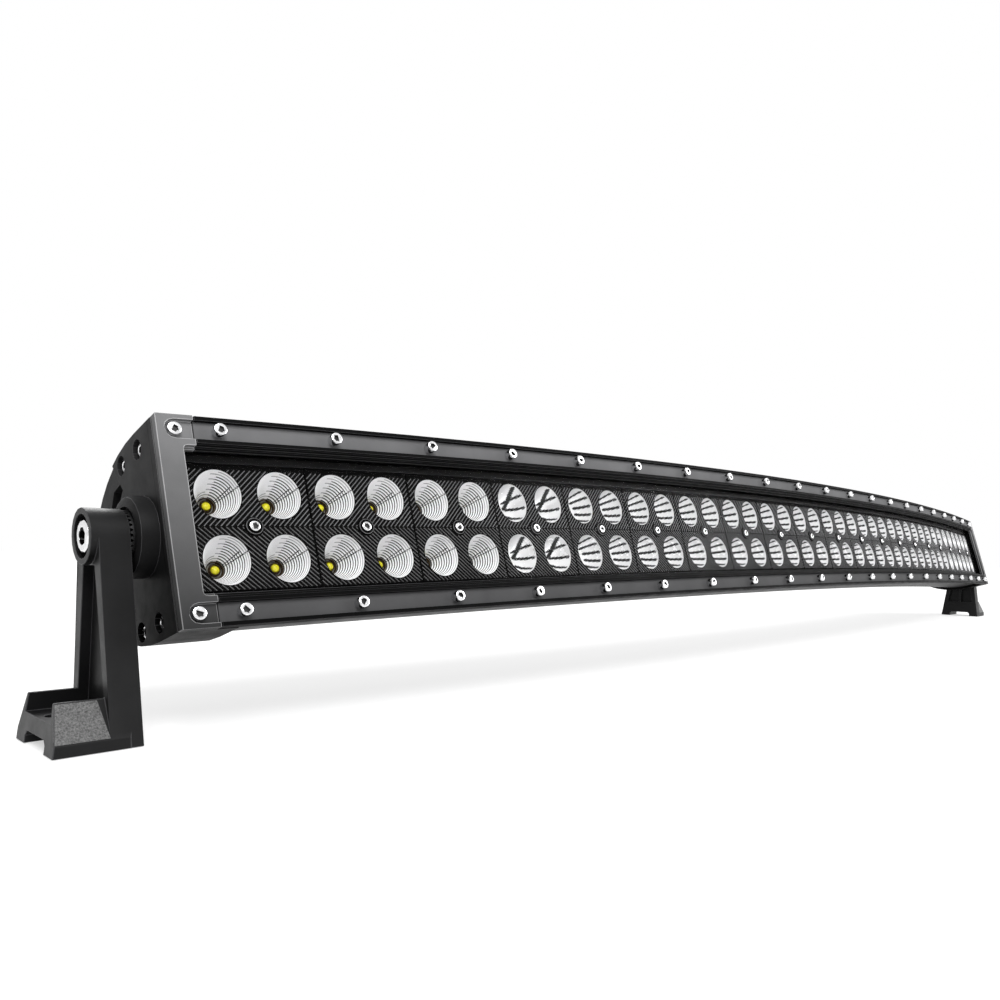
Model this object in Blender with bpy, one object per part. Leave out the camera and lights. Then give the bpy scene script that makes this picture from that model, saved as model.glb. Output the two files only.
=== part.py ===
"""Curved double-row LED light bar on two die-cast feet.

X runs along the bar, the lamps face -Y and Z is up.  The origin is the middle of the ground under
the two feet.  The bar hangs on one pivot axis that runs through both end caps; it is drawn leaning
back on that axis, and its own pieces are laid out upright about the axis and then turned with it.
All sizes are metres.
"""
import math

import bmesh
import bpy
from mathutils import Matrix, Vector
from mathutils.geometry import tessellate_polygon

# --- the lamps ---------------------------------------------------------------------------------
LAMPS_PER_ROW = 40
LAMP_PITCH = 0.025          # from lamp to lamp along the bar
ROW_PITCH = 0.027           # from the upper row to the lower
MODULE_LAMPS = 2            # lamps along one reflector module
FLOOD_MODULES = 3           # wide-beam modules at each end
CUP_SIDES = 12
CUP_EXIT_SIDES = 6
FLOOD_MOUTH_R = 0.0103
SPOT_MOUTH_R = 0.0098
CUP_EXIT_R = 0.0033         # hole over the light chip
MODULE_DEPTH = 0.0165
MODULE_MARGIN = 0.0020      # plate left above and below the cup mouths
MODULE_GAP = 0.0005

# --- the body ----------------------------------------------------------------------------------
BEND_R = 4.11               # bend of the lamp faces
LEAN = math.radians(17)     # how far the bar leans back on its pivot
HALF_H = 0.0415             # half the height of the end caps and bezels
FIT = 0.0003                # clearance between neighbouring pieces
BACK_AT = 0.0114            # the round back starts this far behind the lamp faces
BACK_REACH = 0.0594         # and goes back this much further
PIVOT_BACK = 0.0139         # pivot behind the lamp faces, at the ends

# --- the front frame ---------------------------------------------------------------------------
BEZEL_FRONT = 0.0097        # front of the frame, ahead of the lamp faces
BEZEL_T = 0.0044
WINDOW_HALF_H = 0.0293
END_MARGIN = 0.0012         # from the last module to the end bar
END_BAR_W = 0.0089          # upright bar of the end bezel
HORN_L = 0.0138             # length of the bezel with its horns
CORNER_IN = 0.0068          # corner screw from the outer face of the cap
SCREW_LINE = 0.0358         # screws from the middle of the bar
CHANNEL_W = 0.0076
CHANNEL_DEPTH = 0.002
RAIL_SET = 0.0002           # the rails stop this far short of the bezel's height
STEP = 0.0011               # ledges from the frame down to the lens
WINDOW_CORNER_R = 0.0016    # rounding of the window's corners in the end bezel
LENS_T = 0.003
LENS_UNDER = 0.0022         # lens held under the frame by this much
GASKET_T = 0.0016
GASKET_W = 0.0022

# --- the extrusion -----------------------------------------------------------------------------
SKIRT_T = 0.003             # skirt of the end cap that takes the end of the extrusion
SKIRT_L = 0.018
CAP_T = 0.004
BLOCK_SET = 0.003           # solid end of the cap, from the tips of the bezel horns
WALL = 0.0032               # web behind the lamps and walls of the duct
SKIN = 0.003                # upper and lower skins
LEDGE_T = 0.0034            # ledge that the lens gasket presses on
FINS = 8
FIN_T = 0.002
DUCT_H = 0.030
DUCT_DEEP = 0.013
WINDOW_STEPS = 3            # facets in a rounded corner of the window
SHOULDER_STEPS = 3          # facets on the shoulder ahead of the first groove

# --- boards ------------------------------------------------------------------------------------
BOARDS = 4
BOARD_T = 0.0016
CHIP_HALF = 0.00175
CHIP_H = 0.0012
DRIVERS = 2
DRIVER_L = 0.130
DRIVER_FIT = 0.0006         # room round a straight driver board in the bent duct
DRIVER_PARTS = ((0.016, 0.9), (0.012, 0.7), (0.016, 0.9), (0.008, 0.5))   # width, share of the room

# --- end cap face ------------------------------------------------------------------------------
BOSS_R = 0.0159
BOSS_L = 0.0072
BOSS_CUP_R = 0.0116
BOSS_CUP_DEEP = 0.0022
CAP_SCREW_R = 0.0042        # counterbores of the cap screws
CAP_SCREW_DEEP = 0.0028
CAP_SCREWS = ((-0.0037, 0.0344), (0.0138, 0.0343), (-0.0037, -0.0344), (0.0138, -0.0343),
              (0.0213, -0.0245))  # (y, z) from the pivot
POCKET_IN_R = 0.0296        # pocket round the back of the boss, between two radii
POCKET_OUT_R = 0.0383
POCKET_DEEP = 0.0045
POCKET_HIGH = math.radians(57)   # its upper end, from the line straight back
POCKET_LOW = math.radians(-30)   # its lower end, clear of the last screw
POCKET_EASE = math.radians(11)   # its outer corners are cut off over this turn
SHELF_DEEP = 0.0008         # the rim beside the pocket is let in by this much
SHELF_EDGE = 0.0010         # and starts this far from the pocket
RIM_SIDES = 20
SCREW_SIDES = 10

# --- pivot -------------------------------------------------------------------------------------
BOLT_R = 0.004
BOLT_FIT = 0.00025
BOLT_HEAD_R = 0.0062
BOLT_HEAD_L = 0.0062
HEX_ACROSS = 0.006
HEX_DEEP = 0.003
WASHER_TEETH = 18
WASHER_R = 0.0102
WASHER_T = 0.0032
TOOTH_H = 0.0009
HUB_GAP = 0.0014            # from the boss to the bracket

# --- brackets ----------------------------------------------------------------------------------
HUB_R = 0.0105
HUB_L = 0.0136
HUB_CUP_R = 0.0082
PIVOT_Z = 0.0757            # pivot above the ground
POST_W = 0.0111             # post along the bar
POST_WALL = 0.0045          # front and rear walls of the post
WEB_T = 0.0032
FOOT_HALF = 0.0216          # half the foot, front to rear, at the ground
FOOT_OUT = 0.0300           # foot along the bar
STRIP_H = 0.004             # upright strip round the ground line
WING_H = 0.0180
WING_TOP_HALF = 0.0152
WING_LEAN = 0.0025          # lean of the outer end of the foot
TROUGH_HALF = 0.0098
FLOOR_TOP = 0.0110
ARCH_H = 0.0048
ARCH_HALF = 0.0116
SLOT_W = 0.0065
SLOT_L = 0.0115
RIB_T = 0.0024
POCKET_TOP = 0.012          # inner pockets of the post stop this far below the hub axis

# --- fittings at the back ----------------------------------------------------------------------
GLAND_X = 0.150
GLAND_R = 0.0075
GLAND_L = 0.014
GLAND_BORE_R = 0.003
VENT_X = -0.150
VENT_R = 0.006
VENT_L = 0.0045

# --- worked out from the sizes above -----------------------------------------------------------
MODULES = LAMPS_PER_ROW // MODULE_LAMPS
MODULE_W = MODULE_LAMPS * LAMP_PITCH
LAMP_SPAN = LAMPS_PER_ROW * LAMP_PITCH
MODULE_HALF_H = ROW_PITCH / 2 + FLOOD_MOUTH_R + MODULE_MARGIN
WINDOW_END = BEND_R * math.sin(LAMP_SPAN / 2 / BEND_R) + END_MARGIN
END_X = WINDOW_END + STEP + END_BAR_W
HORN_X = END_X - HORN_L
CAP_IN_X = END_X - CAP_T
SKIRT_X = END_X - CAP_T - SKIRT_L
BLOCK_X = HORN_X + BLOCK_SET
PIVOT_ARC = math.sqrt(BEND_R ** 2 - END_X ** 2) - PIVOT_BACK
FRAME_BACK = -BEZEL_FRONT + BEZEL_T
BODY_FRONT = FRAME_BACK + FIT
LENS_FRONT = FRAME_BACK + FIT
LENS_BACK = LENS_FRONT + LENS_T
GASKET_BACK = LENS_BACK + FIT + GASKET_T
LENS_HALF_H = WINDOW_HALF_H + LENS_UNDER
LENS_X = WINDOW_END + LENS_UNDER
CAVITY_HALF = MODULE_HALF_H + 2 * FIT
SEAT_HALF = LENS_HALF_H + FIT
SEAT_AT = GASKET_BACK + FIT
BOARD_FRONT = MODULE_DEPTH + CHIP_H / 2
BOARD_BACK = BOARD_FRONT + BOARD_T
WEB_AT = BOARD_BACK + FIT
DUCT_AT = WEB_AT + WALL
CORE_SET = SKIRT_T + FIT    # the extrusion lies this far inside the outline of the cap
CORE_HALF = HALF_H - CORE_SET
CORE_REACH = BACK_REACH - CORE_SET
BOSS_X = END_X + BOSS_L
HUB_IN_X = BOSS_X + HUB_GAP
HUB_OUT_X = HUB_IN_X + HUB_L
FOOT_END_X = HUB_IN_X + FOOT_OUT


# --- shared helpers ----------------------------------------------------------------------------
def material(name, color, roughness, metallic=0.0, alpha=1.0):
    mat = bpy.data.materials.new(name)
    mat.use_nodes = True
    shader = mat.node_tree.nodes["Principled BSDF"]
    shader.inputs["Base Color"].default_value = (*color, 1.0)
    shader.inputs["Roughness"].default_value = roughness
    shader.inputs["Metallic"].default_value = metallic
    shader.inputs["Alpha"].default_value = alpha
    return mat


def add_object(name, bm, mat, parent=None, smooth=None):
    """Weld and close the mesh, turn its faces outwards and place it under its parent."""
    bmesh.ops.remove_doubles(bm, verts=bm.verts, dist=1e-6)
    bmesh.ops.recalc_face_normals(bm, faces=bm.faces)
    mesh = bpy.data.meshes.new(name)
    bm.to_mesh(mesh)
    bm.free()
    mesh.materials.append(mat)
    obj = bpy.data.objects.new(name, mesh)
    bpy.context.scene.collection.objects.link(obj)
    obj.parent = parent
    if smooth is not None:
        mesh.shade_smooth()
        mesh.set_sharp_from_angle(angle=math.radians(smooth))
    return obj


def evaluated_copy(obj):
    """The mesh of an object with its modifiers worked out."""
    graph = bpy.context.evaluated_depsgraph_get()
    return bpy.data.meshes.new_from_object(obj.evaluated_get(graph))


def combine(bm, tool, operation):
    """Union or difference of two closed meshes; both are used up and the result is returned."""
    pair = []
    for part in (bm, tool):
        bmesh.ops.recalc_face_normals(part, faces=part.faces)
        mesh = bpy.data.meshes.new("work")
        part.to_mesh(mesh)
        part.free()
        obj = bpy.data.objects.new("work", mesh)
        bpy.context.scene.collection.objects.link(obj)
        pair.append(obj)
    body, cutter = pair
    modifier = body.modifiers.new("join", "BOOLEAN")
    modifier.operation = operation
    modifier.solver = "EXACT"
    modifier.object = cutter
    bpy.context.view_layer.update()
    result = evaluated_copy(body)
    out = bmesh.new()
    out.from_mesh(result)
    bpy.data.meshes.remove(result)
    for obj in pair:
        mesh = obj.data
        bpy.data.objects.remove(obj)
        bpy.data.meshes.remove(mesh)
    bmesh.ops.remove_doubles(out, verts=out.verts, dist=1e-6)
    bmesh.ops.dissolve_limit(out, angle_limit=math.radians(0.5), verts=out.verts, edges=out.edges)
    bmesh.ops.triangulate(out, faces=[f for f in out.faces if len(f.verts) > 4])
    return out


def fill(bm, loops, flat):
    """Close a flat region: the first loop is its rim and the others are holes in it."""
    verts = [v for loop in loops for v in loop]
    rows = [[Vector((a, b, 0.0)) for a, b in loop] for loop in flat]
    for tri in tessellate_polygon(rows):
        bm.faces.new([verts[i] for i in tri])


def band(bm, ring_a, ring_b):
    """Faces between two rings; the second may have half as many points as the first."""
    n = len(ring_a)
    if len(ring_b) == n:
        for i in range(n):
            j = (i + 1) % n
            bm.faces.new((ring_a[i], ring_a[j], ring_b[j], ring_b[i]))
        return
    half = len(ring_b)
    for i in range(half):
        j = (i + 1) % half
        bm.faces.new((ring_a[2 * i], ring_a[2 * i + 1], ring_b[i]))
        bm.faces.new((ring_a[2 * i + 1], ring_a[(2 * i + 2) % n], ring_b[j], ring_b[i]))


def sweep(places, loops):
    """Carry closed (depth, z) loops through the stations and close both ends."""
    bm = bmesh.new()
    rings = []
    for place in places:
        rings.append([[bm.verts.new(place(d, z)) for d, z in loop] for loop in loops])
    for near, far in zip(rings, rings[1:]):
        for ring_a, ring_b in zip(near, far):
            band(bm, ring_a, ring_b)
    fill(bm, rings[0], loops)
    fill(bm, rings[-1], loops)
    return bm


def circle(radius, sides, centre=(0.0, 0.0), turn=0.0):
    points = []
    for i in range(sides):
        angle = turn + math.tau * i / sides
        points.append((centre[0] + radius * math.cos(angle), centre[1] + radius * math.sin(angle)))
    return points


def rect(a0, a1, b0, b1):
    return [(a0, b0), (a1, b0), (a1, b1), (a0, b1)]


def turned(profile, sides):
    """A closed turned solid about X from (x, radius) points; radius 0 only at the two ends."""
    bm = bmesh.new()
    rings = []
    for x, radius in profile:
        if radius == 0.0:
            rings.append([bm.verts.new((x, 0.0, 0.0))])
        else:
            rings.append([bm.verts.new((x, a, b)) for a, b in circle(radius, sides)])
    for ring_a, ring_b in zip(rings, rings[1:]):
        if len(ring_a) == len(ring_b):
            band(bm, ring_a, ring_b)
            continue
        hub, rim = (ring_a[0], ring_b) if len(ring_a) == 1 else (ring_b[0], ring_a)
        for i in range(sides):
            bm.faces.new((hub, rim[i], rim[(i + 1) % sides]))
    return bm


def tube(profile, sides):
    """A closed turned ring about X from a closed (x, radius) loop."""
    bm = bmesh.new()
    rings = [[bm.verts.new((x, a, b)) for a, b in circle(radius, sides)] for x, radius in profile]
    for ring_a, ring_b in zip(rings, rings[1:] + rings[:1]):
        band(bm, ring_a, ring_b)
    return bm


def prism_x(x0, x1, outline):
    """A straight bar along X with a (y, z) outline."""
    return sweep([lambda y, z, x=x: Vector((x, y, z)) for x in (x0, x1)], [outline])


def prism_z(z0, z1, outline):
    """An upright bar with an (x, y) outline."""
    return sweep([lambda x, y, z=z: Vector((x, y, z)) for z in (z0, z1)], [outline])


def shifted(bm, offset):
    bmesh.ops.translate(bm, vec=Vector(offset), verts=bm.verts)
    return bm


def mirrored(bm):
    """The same piece for the other end of the bar."""
    bmesh.ops.scale(bm, vec=Vector((-1.0, 1.0, 1.0)), verts=bm.verts)
    bmesh.ops.reverse_faces(bm, faces=bm.faces)
    return bm


# --- the bend ----------------------------------------------------------------------------------
def on_arc(s):
    """Station square to the bend, s along the lamp faces; depth runs back from the lamp faces."""
    angle = s / BEND_R

    def place(depth, z):
        radius = BEND_R - depth
        return Vector((radius * math.sin(angle), PIVOT_ARC - radius * math.cos(angle), z))
    return place


def on_cut(x):
    """Station where the bend is sawn square to X, as the ends of the bar are."""
    def place(depth, z):
        radius = BEND_R - depth
        return Vector((x, PIVOT_ARC - math.sqrt(radius ** 2 - x ** 2), z))
    return place


def bent_stations(end_x):
    """The module joints as stations, with square-cut ends at plus and minus end_x."""
    inner = [(i - MODULES / 2) * MODULE_W for i in range(1, MODULES)]
    return [on_cut(-end_x)] + [on_arc(s) for s in inner] + [on_cut(end_x)]


# --- body outlines -----------------------------------------------------------------------------
def d_outline(inset, front):
    """Flat front and flanks with an elliptical back, as (depth, z) points."""
    half = HALF_H - inset
    reach = BACK_REACH - inset
    points = [(front, half)]
    for i in range(RIM_SIDES + 1):
        angle = math.pi / 2 - math.pi * i / RIM_SIDES
        points.append((BACK_AT + reach * math.cos(angle), half * math.sin(angle)))
    points.append((front, -half))
    return points


def fin_outline():
    """The extrusion: seat for the lens, cavity for the modules and fins cut into the round back."""
    def back(z):
        return BACK_AT + CORE_REACH * math.sqrt(1 - (z / CORE_HALF) ** 2)

    def groove_floor(z):
        beside_duct = abs(z) < DUCT_H / 2 + WALL
        return DUCT_AT + DUCT_DEEP + WALL if beside_duct else DUCT_AT

    shell = CORE_HALF - SKIN
    pitch = 2 * shell / (FINS + 1)
    fins = [shell - pitch * (i + 1) for i in range(FINS)]
    shoulder = [(BODY_FRONT, CORE_HALF), (BACK_AT, CORE_HALF)]
    for i in range(1, SHOULDER_STEPS + 1):
        z = CORE_HALF - SKIN * (i / SHOULDER_STEPS) ** 2
        shoulder.append((back(z), z))
    points = list(shoulder)
    uppers = [shell] + [z - FIN_T / 2 for z in fins]
    lowers = [z + FIN_T / 2 for z in fins] + [-shell]
    for upper, lower in zip(uppers, lowers):
        floor = groove_floor(min(abs(upper), abs(lower)))
        points += [(floor, upper), (floor, lower)]
        if lower > -shell:
            points += [(back(lower), lower), (back(lower - FIN_T), lower - FIN_T)]
    points += [(depth, -z) for depth, z in reversed(shoulder)]
    seat = [(BODY_FRONT, SEAT_HALF), (SEAT_AT, SEAT_HALF), (SEAT_AT, CAVITY_HALF),
            (SEAT_AT + LEDGE_T, CAVITY_HALF), (SEAT_AT + LEDGE_T, shell), (WEB_AT, shell)]
    points += [(depth, -z) for depth, z in seat]
    points += list(reversed(seat))
    return points


def build_housing(mat, parent):
    duct = rect(DUCT_AT, DUCT_AT + DUCT_DEEP, -DUCT_H / 2, DUCT_H / 2)
    bm = sweep(bent_stations(BLOCK_X - FIT), [fin_outline(), duct])
    return add_object("housing", bm, mat, parent, smooth=20)


# --- end caps ----------------------------------------------------------------------------------
def build_end_cap(side, mat, parent):
    """Cap with a skirt round the extrusion, corner blocks, boss, screw seats and a pocket."""
    outer = d_outline(0.0, BODY_FRONT)
    bm = sweep([on_cut(x) for x in (SKIRT_X, END_X)], [outer])
    inner = d_outline(SKIRT_T, BODY_FRONT - BEZEL_T)
    bm = combine(bm, sweep([on_cut(x) for x in (SKIRT_X - CAP_T, BLOCK_X)], [inner]), "DIFFERENCE")
    room = rect(BODY_FRONT - BEZEL_T, WEB_AT, -SEAT_HALF, SEAT_HALF)
    bm = combine(bm, sweep([on_cut(x) for x in (BLOCK_X - CAP_T, CAP_IN_X)], [room]), "DIFFERENCE")
    rounding = BOSS_L / 3
    boss = [(CAP_IN_X + CAP_T / 2, 0.0), (CAP_IN_X + CAP_T / 2, BOSS_R), (BOSS_X - rounding, BOSS_R),
            (BOSS_X - rounding * 0.3, BOSS_R - rounding * 0.3), (BOSS_X, BOSS_R - rounding),
            (BOSS_X, BOSS_CUP_R), (BOSS_X - BOSS_CUP_DEEP, BOSS_CUP_R), (BOSS_X - BOSS_CUP_DEEP, 0.0)]
    bm = combine(bm, turned(boss, RIM_SIDES), "UNION")
    bore = BOLT_R + BOLT_FIT
    hole = prism_x(CAP_IN_X - CAP_T, BOSS_X, circle(bore, CUP_SIDES))
    bm = combine(bm, hole, "DIFFERENCE")
    for y, z in CAP_SCREWS:
        seat = circle(CAP_SCREW_R, SCREW_SIDES, (y, z))
        bm = combine(bm, prism_x(END_X - CAP_SCREW_DEEP, END_X + CAP_T, seat), "DIFFERENCE")
    bm = combine(bm, prism_x(END_X - SHELF_DEEP, END_X + CAP_T, shelf_outline()), "DIFFERENCE")
    bm = combine(bm, prism_x(END_X - POCKET_DEEP, END_X + CAP_T, pocket_outline()), "DIFFERENCE")
    if side < 0:
        bm = mirrored(bm)
    return add_object("end_cap_" + ("left" if side < 0 else "right"), bm, mat, parent, smooth=30)


def ring_part(rows):
    """(y, z) outline about the pivot from (radius, first angle, last angle) arcs."""
    steps = CUP_SIDES // 2
    points = []
    for radius, first, last in rows:
        for i in range(steps + 1 if first != last else 1):
            angle = first + (last - first) * i / steps
            points.append((radius * math.cos(angle), radius * math.sin(angle)))
    return points


def pocket_outline():
    """Part of a ring about the pivot with its outer corners cut off."""
    blunt = (POCKET_IN_R + POCKET_OUT_R) / 2
    return ring_part([(blunt, POCKET_HIGH, POCKET_HIGH),
                      (POCKET_OUT_R, POCKET_HIGH - POCKET_EASE, POCKET_LOW + POCKET_EASE),
                      (blunt, POCKET_LOW, POCKET_LOW), (POCKET_IN_R, POCKET_LOW, POCKET_HIGH)])


def shelf_outline():
    """The stretch of rim beside the pocket, out past the edge of the cap."""
    margin = SHELF_EDGE / POCKET_OUT_R
    high = POCKET_HIGH + margin
    low = POCKET_LOW - margin
    return ring_part([(BACK_REACH, high, low), (POCKET_IN_R - SHELF_EDGE, low, high)])


# --- front frame -------------------------------------------------------------------------------
def rail_outline():
    """Upper rail: screw channel between two edge ridges, and ledges down to the lens."""
    top = HALF_H - RAIL_SET
    front = -BEZEL_FRONT
    floor = front + CHANNEL_DEPTH
    lens_drop = (FRAME_BACK - front) / 3
    edge = WINDOW_HALF_H + STEP
    return [(front, top), (front, SCREW_LINE + CHANNEL_W / 2), (floor, SCREW_LINE + CHANNEL_W / 2),
            (floor, SCREW_LINE - CHANNEL_W / 2), (front, SCREW_LINE - CHANNEL_W / 2), (front, edge),
            (front + lens_drop, edge), (front + lens_drop, edge - STEP),
            (front + 2 * lens_drop, edge - STEP), (front + 2 * lens_drop, edge - 2 * STEP),
            (FRAME_BACK, edge - 2 * STEP), (FRAME_BACK, top)]


def build_rail(side, mat, parent):
    outline = [(d, side * z) for d, z in rail_outline()]
    bm = sweep(bent_stations(HORN_X - FIT), [outline])
    return add_object("rail_" + ("top" if side > 0 else "bottom"), bm, mat, parent, smooth=20)


def build_end_bezel(side, mat, parent):
    """Upright bar with two horns, a ledge round its window and a screw seat in each horn."""
    ledge_z = WINDOW_HALF_H - STEP
    frame = [(HORN_X, HALF_H), (END_X, HALF_H), (END_X, -HALF_H), (HORN_X, -HALF_H),
             (HORN_X, -ledge_z), (WINDOW_END, -ledge_z), (WINDOW_END, ledge_z), (HORN_X, ledge_z)]

    def layer(depth):
        return lambda x, z: on_cut(x)(depth, z)
    bm = sweep([layer(-BEZEL_FRONT), layer(FRAME_BACK)], [frame])
    window = [(HORN_X - CAP_T, -WINDOW_HALF_H), (HORN_X - CAP_T, WINDOW_HALF_H)]
    for end, start in ((1, math.pi / 2), (-1, 0.0)):
        corner = (WINDOW_END + STEP - WINDOW_CORNER_R, end * (WINDOW_HALF_H - WINDOW_CORNER_R))
        for i in range(WINDOW_STEPS + 1):
            angle = start - math.pi / 2 * i / WINDOW_STEPS
            window.append((corner[0] + WINDOW_CORNER_R * math.cos(angle),
                           corner[1] + WINDOW_CORNER_R * math.sin(angle)))
    drop = layer(-BEZEL_FRONT + BEZEL_T / 2)
    bm = combine(bm, sweep([layer(-BEZEL_FRONT - CAP_T), drop], [window]), "DIFFERENCE")
    seat_x = END_X - CORNER_IN
    half = CHANNEL_W / 2
    steps = CUP_SIDES // 2
    for end in (-1, 1):
        slot = [(HORN_X - CAP_T, end * SCREW_LINE - half)]
        for i in range(steps + 1):
            angle = -math.pi / 2 + math.pi * i / steps
            slot.append((seat_x + half * math.cos(angle), end * SCREW_LINE + half * math.sin(angle)))
        slot.append((HORN_X - CAP_T, end * SCREW_LINE + half))
        tool = sweep([layer(-BEZEL_FRONT - CAP_T), layer(-BEZEL_FRONT + CHANNEL_DEPTH)], [slot])
        bm = combine(bm, tool, "DIFFERENCE")
    if side < 0:
        bm = mirrored(bm)
    return add_object("end_bezel_" + ("left" if side < 0 else "right"), bm, mat, parent)


def build_lens(mat, parent):
    outline = rect(LENS_FRONT, LENS_BACK, -LENS_HALF_H, LENS_HALF_H)
    return add_object("lens", sweep(bent_stations(LENS_X), [outline]), mat, parent, smooth=20)


def build_lens_gasket(mat, parent):
    """Frame of sealing rubber between the edge of the lens and its seat."""
    front = LENS_BACK + FIT
    inner_half = LENS_HALF_H - GASKET_W
    inner_x = LENS_X - GASKET_W
    bm = bmesh.new()
    grid = []
    places = bent_stations(LENS_X)
    places[1:1] = [on_cut(-inner_x)]
    places[-1:-1] = [on_cut(inner_x)]
    for place in places:
        cell = []
        for z in (-LENS_HALF_H, -inner_half, inner_half, LENS_HALF_H):
            cell.append((bm.verts.new(place(front, z)), bm.verts.new(place(GASKET_BACK, z))))
        grid.append(cell)
    last = len(grid) - 2
    for i, (a, b) in enumerate(zip(grid, grid[1:])):
        for j in range(3):
            if j == 1 and 0 < i < last:
                continue
            for k in (0, 1):
                bm.faces.new((a[j][k], b[j][k], b[j + 1][k], a[j + 1][k]))
        for j in (0, 3):
            bm.faces.new((a[j][0], a[j][1], b[j][1], b[j][0]))
        if 0 < i < last:
            for j in (1, 2):
                bm.faces.new((a[j][0], a[j][1], b[j][1], b[j][0]))
    for i, rows in ((0, range(3)), (1, (1,)), (len(grid) - 2, (1,)), (len(grid) - 1, range(3))):
        for j in rows:
            a, b = grid[i][j], grid[i][j + 1]
            bm.faces.new((a[0], a[1], b[1], b[0]))
    return add_object("lens_gasket", bm, mat, parent)


# --- reflectors --------------------------------------------------------------------------------
def cup_stations(flood):
    """(depth, radius, sides) rings of a cup from its mouth back to the chip hole."""
    if flood:
        return ((0.0, FLOOD_MOUTH_R, CUP_SIDES), (MODULE_DEPTH * 0.5, FLOOD_MOUTH_R * 0.66, CUP_SIDES),
                (MODULE_DEPTH, CUP_EXIT_R, CUP_EXIT_SIDES))
    return ((0.0, SPOT_MOUTH_R, CUP_SIDES), (MODULE_DEPTH * 0.55, SPOT_MOUTH_R * 0.80, CUP_SIDES),
            (MODULE_DEPTH, CUP_EXIT_R, CUP_EXIT_SIDES))


def build_reflector(index, mat, parent):
    """Moulded block of two by two cups, set flat on its stretch of the bend."""
    flood = index < FLOOD_MODULES or index >= MODULES - FLOOD_MODULES
    half_w = (MODULE_W - MODULE_GAP) / 2
    rim = rect(-half_w, half_w, -MODULE_HALF_H, MODULE_HALF_H)
    centres = [(a * LAMP_PITCH / 2, b * ROW_PITCH / 2) for a in (-1, 1) for b in (-1, 1)]
    bm = bmesh.new()
    levels = {}
    for depth in (0.0, MODULE_DEPTH):
        levels[depth] = [[bm.verts.new((x, depth, z)) for x, z in rim]]
    band(bm, levels[0.0][0], levels[MODULE_DEPTH][0])
    flats = {0.0: [rim], MODULE_DEPTH: [rim]}
    for centre in centres:
        rings = []
        for depth, radius, sides in cup_stations(flood):
            points = circle(radius, sides, centre)
            ring = [bm.verts.new((x, depth, z)) for x, z in points]
            if depth in levels:
                levels[depth].append(ring)
                flats[depth].append(points)
            rings.append(ring)
        for ring_a, ring_b in zip(rings, rings[1:]):
            band(bm, ring_a, ring_b)
    for depth in levels:
        fill(bm, levels[depth], flats[depth])
    obj = add_object("reflector_%02d" % (index + 1), bm, mat, parent, smooth=35)
    s = (index + 0.5 - MODULES / 2) * MODULE_W
    obj.location = on_arc(s)(0.0, 0.0)
    obj.rotation_euler = (0.0, 0.0, s / BEND_R)
    return obj


# --- boards ------------------------------------------------------------------------------------
def studded(cells, half_h, front, back, place):
    """Board with square studs on its front, laid out in cells along it.

    Each cell is (start, end, studs) and each stud (outline, height); place turns (s, depth, z)
    into a point, so a board can follow the bend.
    """
    bm = bmesh.new()
    marks = [cells[0][0]] + [cell[1] for cell in cells]
    columns = [[bm.verts.new(place(s, depth, z)) for depth, z in rect(front, back, -half_h, half_h)]
               for s in marks]
    for i, (start, end, studs) in enumerate(cells):
        a, b = columns[i], columns[i + 1]
        for j, k in ((0, 1), (1, 2), (2, 3)):
            bm.faces.new((a[j], a[k], b[k], b[j]))
        loops = [[a[0], b[0], b[3], a[3]]]
        flats = [rect(start, end, -half_h, half_h)]
        for outline, height in studs:
            foot = [bm.verts.new(place(s, front, z)) for s, z in outline]
            head = [bm.verts.new(place(s, front - height, z)) for s, z in outline]
            band(bm, foot, head)
            bm.faces.new(head)
            loops.append(foot)
            flats.append(outline)
        fill(bm, loops, flats)
    bm.faces.new(columns[0])
    bm.faces.new(columns[-1])
    return bm


def build_led_board(index, mat, parent):
    """Aluminium board with one light chip behind each cup, bent with the housing."""
    lamps = LAMPS_PER_ROW // BOARDS
    start = (index - BOARDS / 2) * lamps * LAMP_PITCH
    cells = []
    for i in range(lamps):
        s = start + i * LAMP_PITCH
        studs = []
        for z in (-ROW_PITCH / 2, ROW_PITCH / 2):
            middle = s + LAMP_PITCH / 2
            outline = rect(middle - CHIP_HALF, middle + CHIP_HALF, z - CHIP_HALF, z + CHIP_HALF)
            studs.append((outline, CHIP_H))
        low = s + (FIT / 2 if i == 0 else 0.0)
        high = s + LAMP_PITCH - (FIT / 2 if i == lamps - 1 else 0.0)
        cells.append((low, high, studs))
    bm = studded(cells, MODULE_HALF_H, BOARD_FRONT, BOARD_BACK, lambda s, d, z: on_arc(s)(d, z))
    return add_object("led_board_%d" % (index + 1), bm, mat, parent)


def build_driver(index, mat, parent):
    """Driver board in the duct behind the lamps, with its coils and capacitors."""
    centre = (index + 0.5 - DRIVERS / 2) * LAMP_SPAN / DRIVERS
    tall = DUCT_DEEP - BOARD_T - 4 * DRIVER_FIT
    studs = []
    for i, (width, height) in enumerate(DRIVER_PARTS):
        s = (i - (len(DRIVER_PARTS) - 1) / 2) * DRIVER_L / len(DRIVER_PARTS)
        outline = rect(s - width / 2, s + width / 2, -width / 2, width / 2)
        studs.append((outline, height * tall))
    back = DUCT_AT + DUCT_DEEP - 2 * DRIVER_FIT
    cells = [(-DRIVER_L / 2, DRIVER_L / 2, studs)]
    half = DUCT_H / 2 - DRIVER_FIT
    bm = studded(cells, half, back - BOARD_T, back, lambda s, d, z: Vector((s, d, z)))
    obj = add_object("driver_board_%d" % (index + 1), bm, mat, parent)
    obj.location = on_arc(centre)(0.0, 0.0)
    obj.rotation_euler = (0.0, 0.0, centre / BEND_R)
    return obj


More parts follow.
